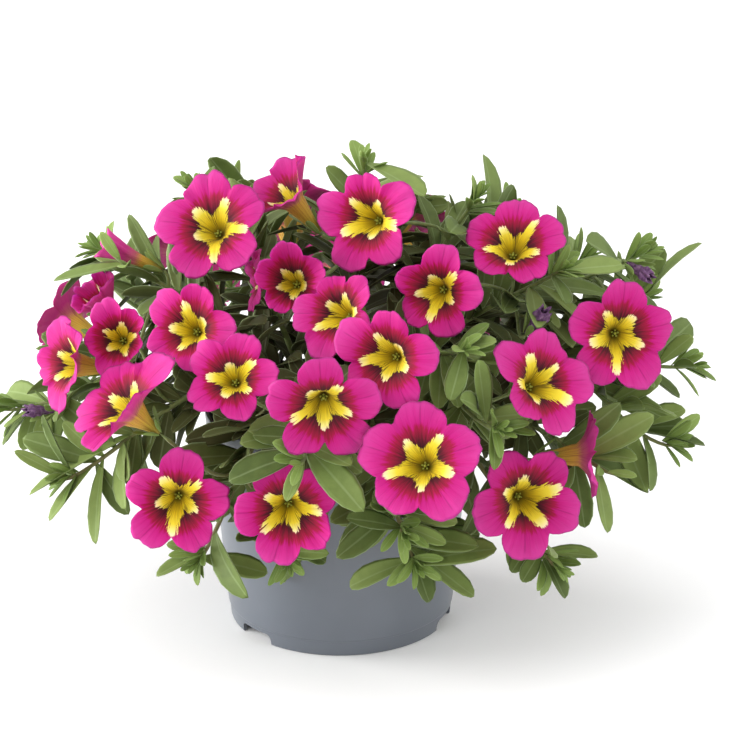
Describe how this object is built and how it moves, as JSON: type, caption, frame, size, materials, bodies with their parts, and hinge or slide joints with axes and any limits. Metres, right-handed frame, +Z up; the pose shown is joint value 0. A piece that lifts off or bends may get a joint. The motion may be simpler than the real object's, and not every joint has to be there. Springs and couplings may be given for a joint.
{
  "type": "potted calibrachoa",
  "caption": "Flowering calibrachoa in a round grey plastic nursery pot: a low mound of leafy stems with open five-lobed trumpet flowers.",
  "frame": {"origin": "middle of the pot's foot ring, on the surface it stands on", "axes": "+Z up, -Y towards the side the plant is shown from, +X to its right"},
  "size_m": [0.2885, 0.2723, 0.1981],
  "materials": {
    "pot_plastic": "satin blue-grey polypropylene",
    "potting_soil": "dark moist peat and bark",
    "leaf_and_stem": "soft green, finely hairy",
    "petal": "velvety magenta with a yellow star and a dark red eye",
    "closed_petal": "dull purple-pink, pleated"
  },
  "bodies": {
    "root": {"pot": "pot_plastic", "soil": "potting_soil", "stem_01": "leaf_and_stem", "stem_02": "leaf_and_stem", "stem_03": "leaf_and_stem", "stem_04": "leaf_and_stem", "stem_05": "leaf_and_stem", "stem_06": "leaf_and_stem", "stem_07": "leaf_and_stem", "stem_08": "leaf_and_stem", "stem_09": "leaf_and_stem", "stem_10": "leaf_and_stem", "stem_11": "leaf_and_stem", "stem_12": "leaf_and_stem", "stem_13": "leaf_and_stem", "stem_14": "leaf_and_stem", "stem_15": "leaf_and_stem", "stem_16": "leaf_and_stem", "stem_17": "leaf_and_stem", "stem_18": "leaf_and_stem", "stem_19": "leaf_and_stem", "stem_20": "leaf_and_stem", "bloom_a1": "petal", "bloom_a2": "petal", "bloom_a3": "petal", "bloom_a4": "petal", "bloom_a4b": "petal", "bloom_a5": "petal", "bloom_b1": "petal", "bloom_b2": "petal", "bloom_b3": "petal", "bloom_b4": "petal", "bloom_c1": "petal", "bloom_c2": "petal", "bloom_c2b": "petal", "bloom_c3": "petal", "bloom_d1": "petal", "bloom_d2": "petal", "bloom_d3": "petal", "bloom_d4": "petal", "bloom_e1": "petal", "bloom_e2": "petal", "bloom_f1": "petal", "bloom_far_1": "petal", "bloom_far_10": "petal", "bloom_far_11": "petal", "bloom_far_2": "petal", "bloom_far_3": "petal", "bloom_far_4": "petal", "bloom_far_5": "petal", "bloom_far_6": "petal", "bloom_far_7": "petal", "bloom_far_8": "petal", "bloom_far_9": "petal", "bloom_g1": "petal", "bloom_h1": "petal", "bud": "closed_petal", "wilted_1": "closed_petal", "wilted_2": "closed_petal", "wilted_3": "closed_petal"}
  },
  "joints": []
}
